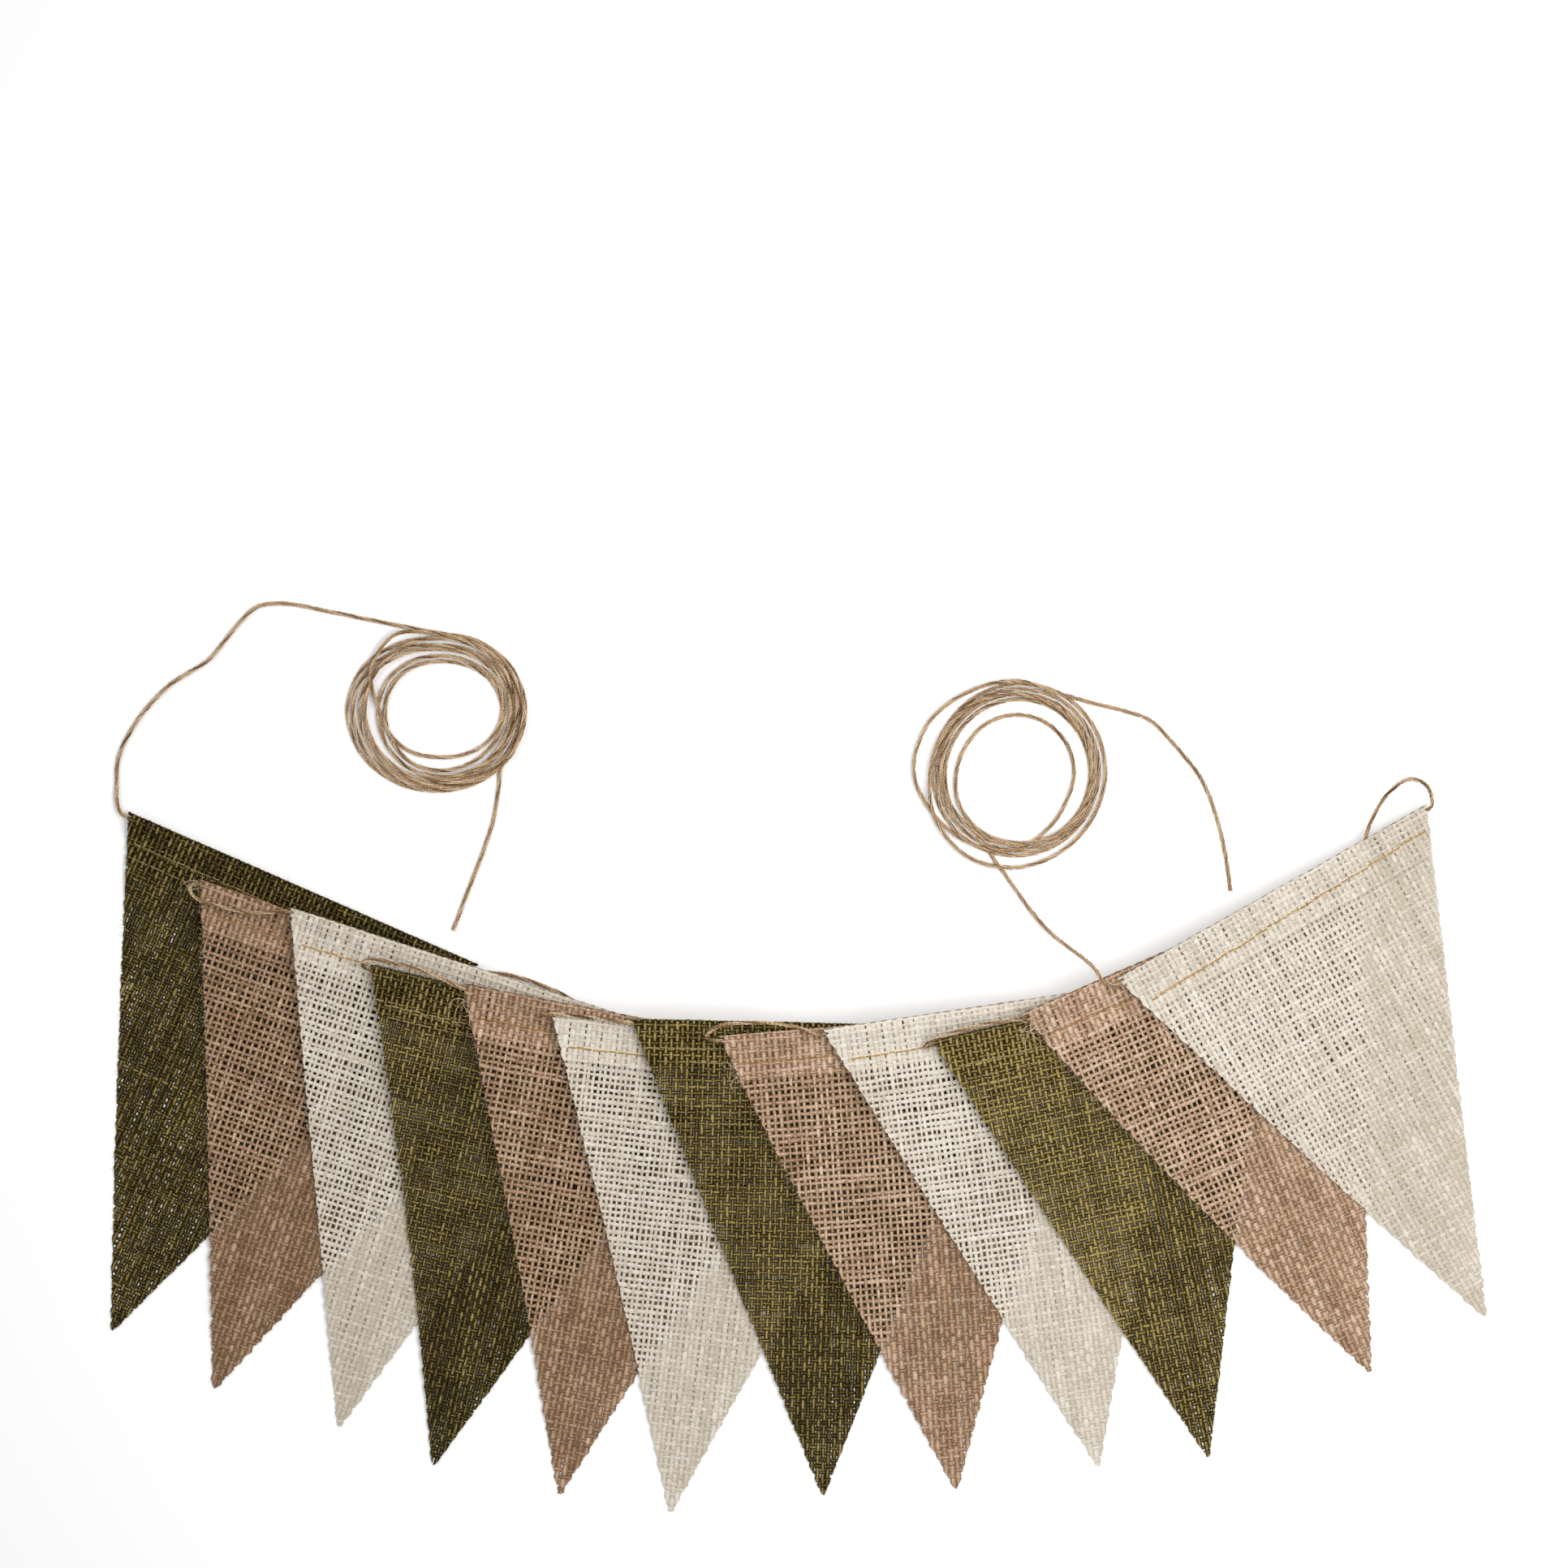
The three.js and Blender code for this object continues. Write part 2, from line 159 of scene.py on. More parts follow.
# Coils: middle, angle in degrees where the twine comes in, how often it goes round, clockwise, and the loop
# that stands out of the bundle: on which turn, how far, and for what share of a turn to either side.
# A row for each turn: height at its start and half way, and how far out it lies at each quarter
COILS = {
    "left": dict(x=-133.8, y=165.5, start=90, rounds=7.34, loop=(6.88, 8.0, 0.17), turns=(
        ((0.9, 0.9), (28.5, 32.5, 30.0, 33.5)),
        ((1.0, 1.0), (26.5, 31.0, 28.5, 31.5)),
        ((0.9, 1.0), (24.0, 28.5, 27.5, 29.0)),
        ((1.9, 1.6), (22.5, 27.0, 26.0, 27.0)),
        ((2.8, 2.6), (26.5, 29.5, 24.5, 22.0)),
        ((1.0, 1.0), (20.0, 25.0, 22.5, 19.5)),
        ((1.2, 1.2), (18.0, 24.0, 17.5, 20.5)),
        ((4.0, 1.5), (26.5, 32.0)),
    )),
    "right": dict(x=80.7, y=142.3, start=240, rounds=6.5, loop=(6.17, 4.0, 0.17), turns=(
        ((0.9, 0.9), (27.5, 26.0, 27.5, 27.5)),
        ((2.3, 2.2), (27.0, 28.0, 29.5, 29.0)),
        ((0.9, 1.0), (29.0, 29.5, 31.5, 30.5)),
        ((1.0, 1.0), (31.0, 31.0, 33.5, 33.0)),
        ((3.5, 3.6), (36.0, 30.5, 28.5, 28.0)),
        ((2.4, 0.9), (25.5, 21.0, 21.5, 21.5)),
        ((2.6, 2.8), (31.0, 35.0, 33.5)),
    )),
}
TURN_POINTS = 12                        # points of the route to a turn

# Weave. across, down: millimetres between threads. warp, weft: how wide they are. filled: the share of the
# room that flat warps take. paler: how much paler the warp is. sides: how strongly painted shade darkens the
# sides of a thread and painted light makes its faces paler
WEAVE = {
    "green": dict(across=2.0, down=2.3, warp=1.32, weft=1.4, filled=0.87, paler=0.1, sides=0.6),
    "brown": dict(across=2.2, down=2.4, warp=1.16, weft=1.34, filled=0.94, paler=0.06, sides=0.34),
    "cream": dict(across=1.98, down=2.38, warp=1.08, weft=1.34, filled=0.94, paler=-0.02, sides=0.24),
}
CREST = 0.21                            # how far a thread rises and dips, over and under the others
THREAD = 0.4                            # thickness of a thread
FIRST_WARP, FIRST_WEFT = 0.45, 0.4      # where the first threads lie, as shares of the spacing
LEAST_WARP = 1.0                        # a shorter warp is left out
CUT_CLEAR = 0.4                         # between a cut edge and the last thread that is crossed
# Four corners of a thread's section: across, through the cloth, and share of the painted shade on the sides
# and of the painted light on the faces
ACROSS = np.array([-1, 0, 1, 0])
THROUGH = np.array([0, 1, 0, -1])
PAINTED_THREAD_SHADING = np.array([-0.9, 0.6, -0.9, 0.6])

# How uneven threads are, in millimetres: from one to the next, slowly along one, and quickly along one
WARP_SET, WARP_DRIFT, WARP_SHAKE = 0.09, 0.1, 0.08
WEFT_SET, WEFT_DRIFT, WEFT_SHAKE = 0.13, 0.15, 0.12
WARP_START, WARP_END, WEFT_END = (-0.1, 0.3), 0.08, 0.06    # at their cut ends
# Thick and thin places, as shares of the width: slow and quick changes, and the least and the most
WARP_SLUB, WEFT_SLUB, QUICK_SLUB = 0.14, 0.16, 0.13
THINNEST, WARP_THICKEST, WEFT_THICKEST = -0.38, 0.35, 0.4
FLAT_EVEN = 0.65                        # share of that which flat warps lose
SLUB_STEP, TONE_STEP = 4, 5             # crossings between slow changes

# Tone, from 0, dark, to 1, pale: how each pennant differs from others of its colour, and painted shade on
# cloth that lies on the bare surface
TONES = (-0.06, -0.14, -0.15, -0.1, -0.1, -0.11, 0.0, -0.01, -0.03, 0.1, 0.06, -0.1)
BARE_PAINTED_SHADE = -0.14
MIDDLE_TONE, TONE_SET, TONE_DRIFT, TONE_SHAKE = 0.5, 0.05, 0.06, 0.07
# Painted light: a thread is painted paler where it rises over the others and darker where it dips under them
PAINTED_CREST_LIGHT = 0.15                       # paler for each millimetre that a thread rises
# A pennant of closer cloth, by its number from 0, and how flat its warps are
CLOSER = {11: 0.6}

# Depth of the sewn row at the left and right ends of each pennant
ROWS = (
    (10.5, 11.0), (11.5, 11.5), (12.5, 11.0), (14.0, 13.0), (12.0, 11.0), (13.0, 11.5),
    (11.0, 10.5), (11.5, 11.0), (13.0, 11.5), (12.0, 11.5), (11.5, 11.0), (14.0, 8.5),
)
STITCH, STITCH_THICK = 2.9, 0.27        # length and half thickness
# Green cloth shows a second row, further down by this much, in longer and thinner stitches
SECOND_LEFT, SECOND_RIGHT = 5.2, 5.0
SECOND_STITCH, SECOND_THICK = 6.0, 0.17
ROW_INSET, ROW_SHAKE = 3.0, 0.16        # from the cut edges, and how uneven a row is
STITCH_DIP = 0.45                       # how deep a stitch's ends go into the cloth
STITCH_START, STITCH_SHARE = 0.06, 0.88  # the part of a stitch that shows
STITCH_POINTS = 5
STITCH_VARY, STITCH_TONE = (0.85, 1.1), (0.3, 0.8)  # least and most: share of the length, and tone

# Stray fibres: half thickness, how far they bend in radians, and points along them
FIBRE_THICK, FIBRE_BEND, FIBRE_POINTS = 0.05, 0.7, 4
FACE_BEND = 1.4
TANGLE_THICK, TANGLE_BEND, TANGLE_POINTS = 0.11, 3.2, 12
FIBRE_TAPER, FIBRE_END = 0.7, 0.04      # share of the thickness near the far end, and at both ends
FIBRE_TURN, STRAY_TONE = (0.4, 1), (0.65, 1.0)      # least and most: share of the bend, and tone
# Their length in millimetres, least and most: at the edges, on the face, at loose corners and on the twine
EDGE_LONG, FACE_LONG, TANGLE_LONG, TWINE_LONG = (0.6, 2.6), (1.5, 4.5), (4, 11), (0.7, 1.9)
# How widely they point, and how much less up and down than along the cloth
EDGE_SPREAD, EDGE_FLAT = 0.7, np.array([1, 1, 0.25])
FACE_FLAT = np.array([1, 1, 0.1])
TANGLE_SPREAD, TANGLE_FLAT = 0.9, np.array([1, 1, 0.15])
EDGE_OFF = (-0.3, 0.4)                  # height over the middle of the cloth, least and most
EDGE_FIBRES = {"green": 130, "brown": 280, "cream": 130}
FACE_FIBRES = 320
# Corners where raw threads hang loose, by the pennant's number from 0: along and down from the left end of
# the fold, and how many
LOOSE = {1: (1, 3, 9), 3: (1, 2, 5), 4: (2, 8, 8), 7: (3, 14, 14), 10: (3, 4, 16)}
LOOSE_ALONG, LOOSE_DOWN = (-0.3, 1), (-2, 5)        # least and most: share of that way, and further down
LOOSE_LEAST = 0.6                       # depth below the fold

# Twine, in millimetres: six strands twisted round a core
TWIST = 13.0                            # length of one twist
CORE, CORE_SIDES, CORE_TONE = 0.5, 6, 0.3
STRANDS, STRAND, STRAND_OUT, STRAND_SIDES = 6, 0.24, 0.5, 3
FREE_STEP, HEADING_STEP = 1.15, 1.6     # between rings, in the free ends and through the headings
TWIST_SHAKE = 0.05                      # radians from ring to ring
# Slow changes along a strand, and rings between them: radians round the core, share of thickness, and tone
STRAND_DRIFT, STRAND_SLUB, STRAND_SHADE = (0.15, 9), (0.12, 4), (0.16, 7)
STRAND_THICK, STRAND_TONE = (0.7, 1.3), (0.2, 0.8)  # least and most: share of thickness, and tone
TWINE_FIBRES = 0.28                     # stray fibres for each ring
TWINE_FIBRE_LEAN = 1.6                  # how far they lean along the twine
TWINE_FIBRE_THICK, TWINE_FIBRE_OUT = 0.045, 0.45
LEAST_HEIGHT = 0.02                     # of the twine over the surface
CURVE_STEPS = 24                        # between two points of a route


def ease(t):
    t = np.clip(t, 0, 1)
    return t * t * (3 - 2 * t)


def wander(n, size, step=6):
    """n numbers that change slowly and at random about 0."""
    knots = rng.normal(0, size, n // step + 3)
    return np.interp(np.arange(n) / step, np.arange(len(knots)), knots)


def linear(code):
    """An sRGB hex colour as linear RGBA."""
    c = np.array([int(code[k:k + 2], 16) / 255 for k in (1, 3, 5)])
    c = np.where(c <= 0.04045, c / 12.92, ((c + 0.055) / 1.055) ** 2.4)
    return (*c, 1.0)


def node(tree, kind, links=(), **settings):
    """A node with its settings, and links from (node, output) to its inputs."""
    made = tree.nodes.new(kind)
    for key, value in settings.items():
        if key in made.inputs:
            made.inputs[key].default_value = value
        else:
            setattr(made, key, value)
    for source, output, target in links:
        tree.links.new(source.outputs[output], made.inputs[target])
    return made


# Jute is a dry, matt plant fibre. Its colour drifts over a finger's breadth and changes from one bundle of
# fibres to the next: millimetres across a patch and across a bundle, and how much each changes the tone
PATCH, PATCH_TONE = 14.3, 0.24
FIBRE, FIBRE_TONE = 0.385, 1.1
FIBRE_MIDDLE = 0.55                     # taken off again, so that the middle tone stays
FIBRE_BUMP, FIBRE_HIGH = 0.6, 0.3       # strength of the bump, and its height in millimetres
DARK_AT, MIDDLE_AT, LIGHT_AT = 0.1, 0.5, 0.92
JUTE_ROUGH, JUTE_SPECULAR = 0.92, 0.15


def yarn(name, dark, middle, light):
    """Dry plant fibre: each thread has its own tone, with fine specks along it and no gloss. The tone
    attribute also carries the painted shade and painted light laid on the cloth's threads.
    """
    m = bpy.data.materials.new(name)
    m.use_nodes = True
    tree = m.node_tree
    tree.nodes.clear()
    tone = node(tree, "ShaderNodeAttribute", attribute_name="tone")
    where = node(tree, "ShaderNodeTexCoord")
    at = [(where, "Object", "Vector")]
    patch = node(tree, "ShaderNodeTexNoise", at, Scale=1 / (PATCH * MM), Detail=2.0)
    speck = node(tree, "ShaderNodeTexNoise", at, Scale=1 / (FIBRE * MM), Detail=2.0)
    patchy = node(tree, "ShaderNodeMath", [(patch, "Fac", 0)], operation="MULTIPLY_ADD")
    patchy.inputs[1].default_value = PATCH_TONE
    patchy.inputs[2].default_value = -PATCH_TONE / 2
    specked = node(tree, "ShaderNodeMath", [(speck, "Fac", 0), (patchy, 0, 2)], operation="MULTIPLY_ADD")
    specked.inputs[1].default_value = FIBRE_TONE
    both = node(tree, "ShaderNodeMath", [(tone, "Fac", 0), (specked, 0, 1)], operation="ADD")
    even = node(tree, "ShaderNodeMath", [(both, 0, 0)], operation="SUBTRACT")
    even.inputs[1].default_value = FIBRE_MIDDLE
    ramp = node(tree, "ShaderNodeValToRGB", [(even, 0, "Fac")])
    first, last = ramp.color_ramp.elements
    first.position, first.color = DARK_AT, linear(dark)
    last.position, last.color = LIGHT_AT, linear(light)
    ramp.color_ramp.elements.new(MIDDLE_AT).color = linear(middle)
    rough = [(speck, "Fac", "Height")]
    bump = node(tree, "ShaderNodeBump", rough, Strength=FIBRE_BUMP, Distance=FIBRE_HIGH * MM)
    looks = [(ramp, "Color", "Base Color"), (bump, "Normal", "Normal")]
    bsdf = node(tree, "ShaderNodeBsdfPrincipled", looks, Roughness=JUTE_ROUGH)
    bsdf.inputs["Specular IOR Level"].default_value = JUTE_SPECULAR
    node(tree, "ShaderNodeOutputMaterial", [(bsdf, "BSDF", "Surface")])
    return m


CLOTHS = {
    # Olive-dyed jute, uneven in tone: painted light makes the crests straw-coloured and painted shade makes
    # the hollows and thread sides nearly black
    "green": yarn("olive dyed jute hessian", "#1c1404", "#52451c", "#a5925a"),
    # Undyed jute: a warm tan with pale woody fibres
    "brown": yarn("natural jute hessian", "#6c513a", "#a98b70", "#d8c0aa"),
    # Bleached jute: off-white, with the least contrast of the three
    "cream": yarn("bleached jute hessian", "#b4a997", "#d4cbbd", "#e6dfd4"),
}
# Spun sewing thread is more even than jute, so its darks and lights lie closer together
SEWING = {
    "green": yarn("tan sewing thread", "#7f6f48", "#95845c", "#ad9c74"),
    "brown": yarn("brown sewing thread", "#8a6238", "#9c7446", "#b08a5c"),
    "cream": yarn("golden brown sewing thread", "#94702f", "#ae8746", "#c29d5f"),
}
# Twisted jute: pale strands with dark hollows between them
TWINE_LOOK = yarn("jute twine", "#5c4326", "#bf9d76", "#ecd5b6")
# Matt white card, which shows only soft shade: linear colour, and how rough it is
CARD_WHITE, CARD_ROUGH = (0.95, 0.95, 0.95, 1), 0.9


def axes(p):
    return math.cos(math.radians(p["turn"])), math.sin(math.radians(p["turn"]))


def place(p, along, down):
    c, s = axes(p)
    return p["x"] + along * c + down * s, p["y"] + along * s - down * c


def left_edge(p, down):
    return (p["tip"] - POINT / 2 + 4 * p["bow"] * (1 - down / p["drop"])) * down / p["drop"]


def right_edge(p, down):
    return p["base"] - (p["base"] - p["tip"] - POINT / 2) * down / p["drop"]


def beyond(p, x, y):
    """How far past a pennant's right edge a point lies, and how far below its fold."""
    c, s = axes(p)
    along = (x - p["x"]) * c + (y - p["y"]) * s
    down = (x - p["x"]) * s - (y - p["y"]) * c
    inset = p["base"] - p["tip"] - TIP / 2
    return ((along - p["base"]) * p["drop"] + down * inset) / math.hypot(p["drop"], inset), down


def lift(i, x, y):
    """How high the pennants before number i hold the cloth at x, y."""
    total = np.zeros(np.shape(x))
    for p in PENNANTS[:i]:
        far, down = beyond(p, x, y)
        body = ease((down - HEAD_DEPTH) / HEAD_RUN)
        pitch = HEAD_PITCH + (BODY_PITCH - HEAD_PITCH) * body
        fall = HEAD_FALL + (BODY_FALL - HEAD_FALL) * body
        total = total + pitch * (1 - ease((far - EDGE_CLEAR) / fall))
    return total


class Cloth:
    """One pennant's surface: a place along its fold, a distance from the hem's raw edge, and a height."""

    def __init__(self, i):
        p = self.p = PENNANTS[i]
        self.i = i
        self.hem_on_top = i % 2 == 1
        over = math.atan2(FOLD_C + FOLD_R - UPPER, FLATTEN)
        a = -math.pi / 2 - (math.pi + over) * np.linspace(0, 1, FOLD_POINTS)
        arc = np.stack([FOLD_C + FOLD_R * np.cos(a), FOLD_C + FOLD_R * np.sin(a)], 1)
        settle = arc[-1, 0] + (arc[-1, 1] - UPPER) / math.tan(over)
        ends = HEM + EASE
        if self.hem_on_top:
            line = [(HEM, UPPER), (settle, UPPER), *arc[::-1], (p["drop"], HALF)]
        else:
            body = [(settle, UPPER), (ends, UPPER), (ends + EASE_RUN, HALF), (p["drop"], HALF)]
            line = [(HEM, HALF), *arc, *body]
        line = np.array(line, float)
        t = np.concatenate([[0], np.cumsum(np.hypot(*np.diff(line, axis=0).T))])
        self.length = t[-1]
        self.t = np.linspace(0, self.length, int(self.length / SECTION_STEP))
        self.v = np.interp(self.t, t, line[:, 0])
        self.w = np.interp(self.t, t, line[:, 1])
        tv, tw = np.gradient(self.v, self.t), np.gradient(self.w, self.t)
        size = np.hypot(tv, tw)
        self.nv, self.nw = -tw / size, tv / size
        self.fold = int(np.argmin(self.v))

    def down(self, t):
        return np.interp(t, self.t, self.v)

    def hem_at(self, down):
        k = self.fold + 1
        return np.interp(down, self.v[:k][::-1], self.t[:k][::-1])

    def body_at(self, down):
        return np.interp(down, self.v[self.fold:], self.t[self.fold:])

    def depth(self, along):
        """How far down the cloth goes at a place along the fold."""
        p = self.p
        down = np.linspace(0, p["drop"], EDGE_POINTS)
        left = np.interp(along, left_edge(p, down), down, left=0)
        right = np.interp(along, right_edge(p, down)[::-1], down[::-1], right=0)
        return np.where(along < p["tip"], left, right)

    def bare(self, along, t):
        """1 where the cloth lies on the bare surface, and 0 over other pennants."""
        x, y = place(self.p, along, self.down(t))
        clear = np.ones(np.shape(x))
        for p in PENNANTS[:self.i]:
            clear = np.minimum(clear, ease(beyond(p, x, y)[0] / BARE_RUN + BARE_START))
        return clear

    def flat(self, along, t):
        """1 in the heading and on the bare surface, where warps lie flat and wide."""
        heading = ease((HEM + FLAT_PAST - self.down(t)) / FLAT_RUN)
        return np.maximum(np.maximum(self.bare(along, t), CLOSER.get(self.i, 0)), heading)

    def upward(self, t):
        return np.interp(t, self.t, self.nw)

    def __call__(self, along, t, off):
        """Points in millimetres. Past its cut ends the cloth goes straight on."""
        past = np.clip(t - self.length, 0, None) + np.clip(-t, 0, None)
        down = self.down(t) + off * np.interp(t, self.t, self.nv) + past
        high = np.interp(t, self.t, self.w) + off * self.upward(t)
        x, y = place(self.p, along, down)
        return np.stack([x, y, lift(self.i, x, y) + high], -1)


class Tubes:
    """Thin tubes gathered into one mesh. A tube is a row of rings with a tone for each ring or corner."""

    INSIDE = 1e-5                       # metres that every point keeps inside the frame's box

    def __init__(self):
        self.points, self.quads, self.tones, self.slots = [], [], [], []
        self.count = 0

    def add(self, rings, tone, slot=0):
        """rings: n x sides x 3 in millimetres. tone: a number for each ring, or for each corner of it."""
        n, sides = rings.shape[:2]
        k, j = np.meshgrid(np.arange(n - 1), np.arange(sides), indexing="ij")
        a, b = k * sides + j, k * sides + (j + 1) % sides
        quads = np.stack([a, b, b + sides, a + sides], -1).reshape(-1, 4)
        if sides == 4:                  # threads and stitches have closed ends
            quads = np.concatenate([quads, [[3, 2, 1, 0]], [np.arange(4) + (n - 1) * 4]])
        mid = rings.mean(1)
        face = np.cross(rings[0, 1] - rings[0, 0], rings[0, 2] - rings[0, 1])
        if np.dot(mid[1] - mid[0], face) < 0:
            quads = quads[:, ::-1]
        self.points.append(rings.reshape(-1, 3))
        self.quads.append(quads + self.count)
        self.tones.append(tone.ravel() if tone.ndim == 2 else np.repeat(tone, sides))
        self.slots.append(np.full(len(quads), slot))
        self.count += n * sides

    def mesh(self, name, materials, rounded):
        """One object that rides on the body. rounded: shaded as round, or with the corners of its tubes."""
        points = np.concatenate(self.points)
        points[:, 1] -= CENTRE_Y
        points = np.clip(points * MM, np.array(cad_low) + self.INSIDE, np.array(cad_high) - self.INSIDE)
        quads = np.concatenate(self.quads)
        me = bpy.data.meshes.new(name)
        me.vertices.add(len(points))
        me.vertices.foreach_set("co", points.ravel().astype(np.float32))
        me.loops.add(quads.size)
        me.loops.foreach_set("vertex_index", quads.ravel().astype(np.int32))
        me.polygons.add(len(quads))
        me.polygons.foreach_set("loop_start", np.arange(0, quads.size, 4, dtype=np.int32))
        me.polygons.foreach_set("material_index", np.concatenate(self.slots).astype(np.int32))
        me.polygons.foreach_set("use_smooth", np.full(len(quads), rounded))
        tone = me.attributes.new("tone", "FLOAT", "POINT")
        tone.data.foreach_set("value", np.concatenate(self.tones).astype(np.float32))
        me.update(calc_edges=True)
        me.validate()
        for m in materials:
            me.materials.append(m)
        ob = bpy.data.objects.new(name, me)
        bpy.context.scene.collection.objects.link(ob)
        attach(ob, BODY)
        return ob


def hair(tubes, start, way, length, thick=FIBRE_THICK, bend=FIBRE_BEND, count=FIBRE_POINTS):
    """A stray fibre of three sides, bent by up to some radians, with fine ends."""
    way = way / np.linalg.norm(way)
    side = np.cross(way, rng.normal(size=3) + np.array([0, 0, bend]))
    side /= np.linalg.norm(side)
    turn = rng.choice([-1, 1]) * bend * rng.uniform(*FIBRE_TURN)
    a = np.linspace(0, 1, count)[:, None] * turn
    mid = start + length / turn * (np.sin(a) * way + (1 - np.cos(a)) * side)
    mid[:, 2] = np.maximum(mid[:, 2], thick)
    c = np.arange(3) * 2 * math.pi / 3
    across, other = np.cos(a) * side - np.sin(a) * way, np.cross(way, side)
    ring = np.cos(c)[None, :, None] * across[:, None] + np.sin(c)[None, :, None] * other
    taper = thick * np.concatenate([[FIBRE_END], np.linspace(1, FIBRE_TAPER, count - 2), [FIBRE_END]])
    tubes.add(mid[:, None] + taper[:, None, None] * ring, np.full(count, rng.uniform(*STRAY_TONE)))


def slubs(n, slow, most):
    """Thick and thin places along a thread, as shares of its width."""
    return np.clip(wander(n, slow, SLUB_STEP) + rng.normal(0, QUICK_SLUB, n), THINNEST, most)


def thread_tone(cloth, own, along, t, off):
    """A thread's tone at each crossing: uneven, with painted shade where the cloth lies on the bare surface
    and a painted highlight on its crests.
    """
    n = len(off)
    uneven = wander(n, TONE_DRIFT, TONE_STEP) + rng.normal(0, TONE_SHAKE, n)
    # Painted shade where the cloth lies on the bare surface, and painted light on rising crests
    return own + BARE_PAINTED_SHADE * cloth.bare(along, t) + uneven + PAINTED_CREST_LIGHT * off * cloth.upward(t)


def lay_warps(cloth, tubes, weave, warps, wefts, tones):
    """Threads from the hem's raw edge over the fold and down to the cut edges."""
    for a, u in enumerate(warps):
        edge = cloth.depth(u + weave["warp"] / 2 * ACROSS)
        if edge.min() < LEAST_WARP:
            continue
        first = cloth.hem_at(np.minimum(edge, HEM)) + rng.uniform(*WARP_START)
        last = cloth.body_at(edge) + rng.normal(0, WARP_END)
        hit = np.flatnonzero((wefts > first.max() + CUT_CLEAR) & (wefts < last.min() - CUT_CLEAR))
        if len(hit) < 2:
            continue
        t4 = np.concatenate([[first], np.repeat(wefts[hit][:, None], 4, 1), [last]])
        off = np.concatenate([[0], CREST * np.where((hit + a) % 2, 1, -1), [0]])
        n, t = len(t4), t4[:, 1]
        along = u + wander(n, WARP_DRIFT) + rng.normal(0, WARP_SHAKE, n)
        flat = cloth.flat(along, t)
        wide = weave["warp"] + (weave["filled"] * weave["across"] - weave["warp"]) * flat
        wide = wide / 2 * (1 + slubs(n, WARP_SLUB, WARP_THICKEST) * (1 - FLAT_EVEN * flat))
        tone = thread_tone(cloth, tones[a], along, t, off)
        u4 = along[:, None] + wide[:, None] * ACROSS
        rings = cloth(u4, t4, off[:, None] + THREAD / 2 * THROUGH)
        # Painted shade darkens the thread's sides and painted light makes its faces paler
        tubes.add(rings, tone[:, None] + weave["sides"] * PAINTED_THREAD_SHADING)


def lay_wefts(cloth, tubes, weave, warps, wefts, tones):
    """Threads from the left cut edge to the right one."""
    p = cloth.p
    for b, t in enumerate(wefts):
        down = cloth.down(t + weave["weft"] / 2 * ACROSS)
        first = left_edge(p, down) + rng.normal(0, WEFT_END)
        last = right_edge(p, down) + rng.normal(0, WEFT_END)
        hit = np.flatnonzero((warps > first.max() + CUT_CLEAR) & (warps < last.min() - CUT_CLEAR))
        if len(hit) < 1:
            continue
        u4 = np.concatenate([[first], np.repeat(warps[hit][:, None], 4, 1), [last]])
        off = np.concatenate([[0], -CREST * np.where((b + hit) % 2, 1, -1), [0]])
        n = len(u4)
        at = t + wander(n, WEFT_DRIFT) + rng.normal(0, WEFT_SHAKE, n)
        wide = weave["weft"] / 2 * (1 + slubs(n, WEFT_SLUB, WEFT_THICKEST))
        tone = thread_tone(cloth, tones[b], u4[:, 1], at, off)
        t4 = at[:, None] + wide[:, None] * ACROSS
        rings = cloth(u4, t4, off[:, None] + THREAD / 2 * THROUGH)
        # Painted shade darkens the thread's sides and painted light makes its faces paler
        tubes.add(rings, tone[:, None] + weave["sides"] * PAINTED_THREAD_SHADING)


def stitches(cloth, tubes):
    """The sewn row that holds the hem, on both faces of the heading."""
    p = cloth.p
    left, right = ROWS[cloth.i]
    rows = [(left, right, STITCH, STITCH_THICK)]
    if p["colour"] == "green":
        rows.append((left + SECOND_LEFT, right + SECOND_RIGHT, SECOND_STITCH, SECOND_THICK))
    outer = -1 if cloth.hem_on_top else 1
    upper_first = (cloth.hem_at, cloth.body_at) if cloth.hem_on_top else (cloth.body_at, cloth.hem_at)
    s = np.linspace(0, 1, STITCH_POINTS)
    for left, right, long, thick in rows:
        off = outer * (CREST + THREAD / 2 - STITCH_DIP + thick + STITCH_DIP * np.sin(math.pi * s))
        u = left_edge(p, left) + ROW_INSET
        while u < right_edge(p, right) - ROW_INSET:
            size = long * rng.uniform(*STITCH_VARY)
            down = left + (right - left) * u / p["base"] + rng.normal(0, ROW_SHAKE)
            along = u + size * (STITCH_START + STITCH_SHARE * s)
            u4 = np.repeat(along[:, None], 4, 1)
            for layer_at in upper_first:
                t4 = np.tile(layer_at(down) + thick * ACROSS, (STITCH_POINTS, 1))
                rings = cloth(u4, t4, off[:, None] + thick * THROUGH)
                tubes.add(rings, np.full(STITCH_POINTS, rng.uniform(*STITCH_TONE)), slot=1)
            u += size


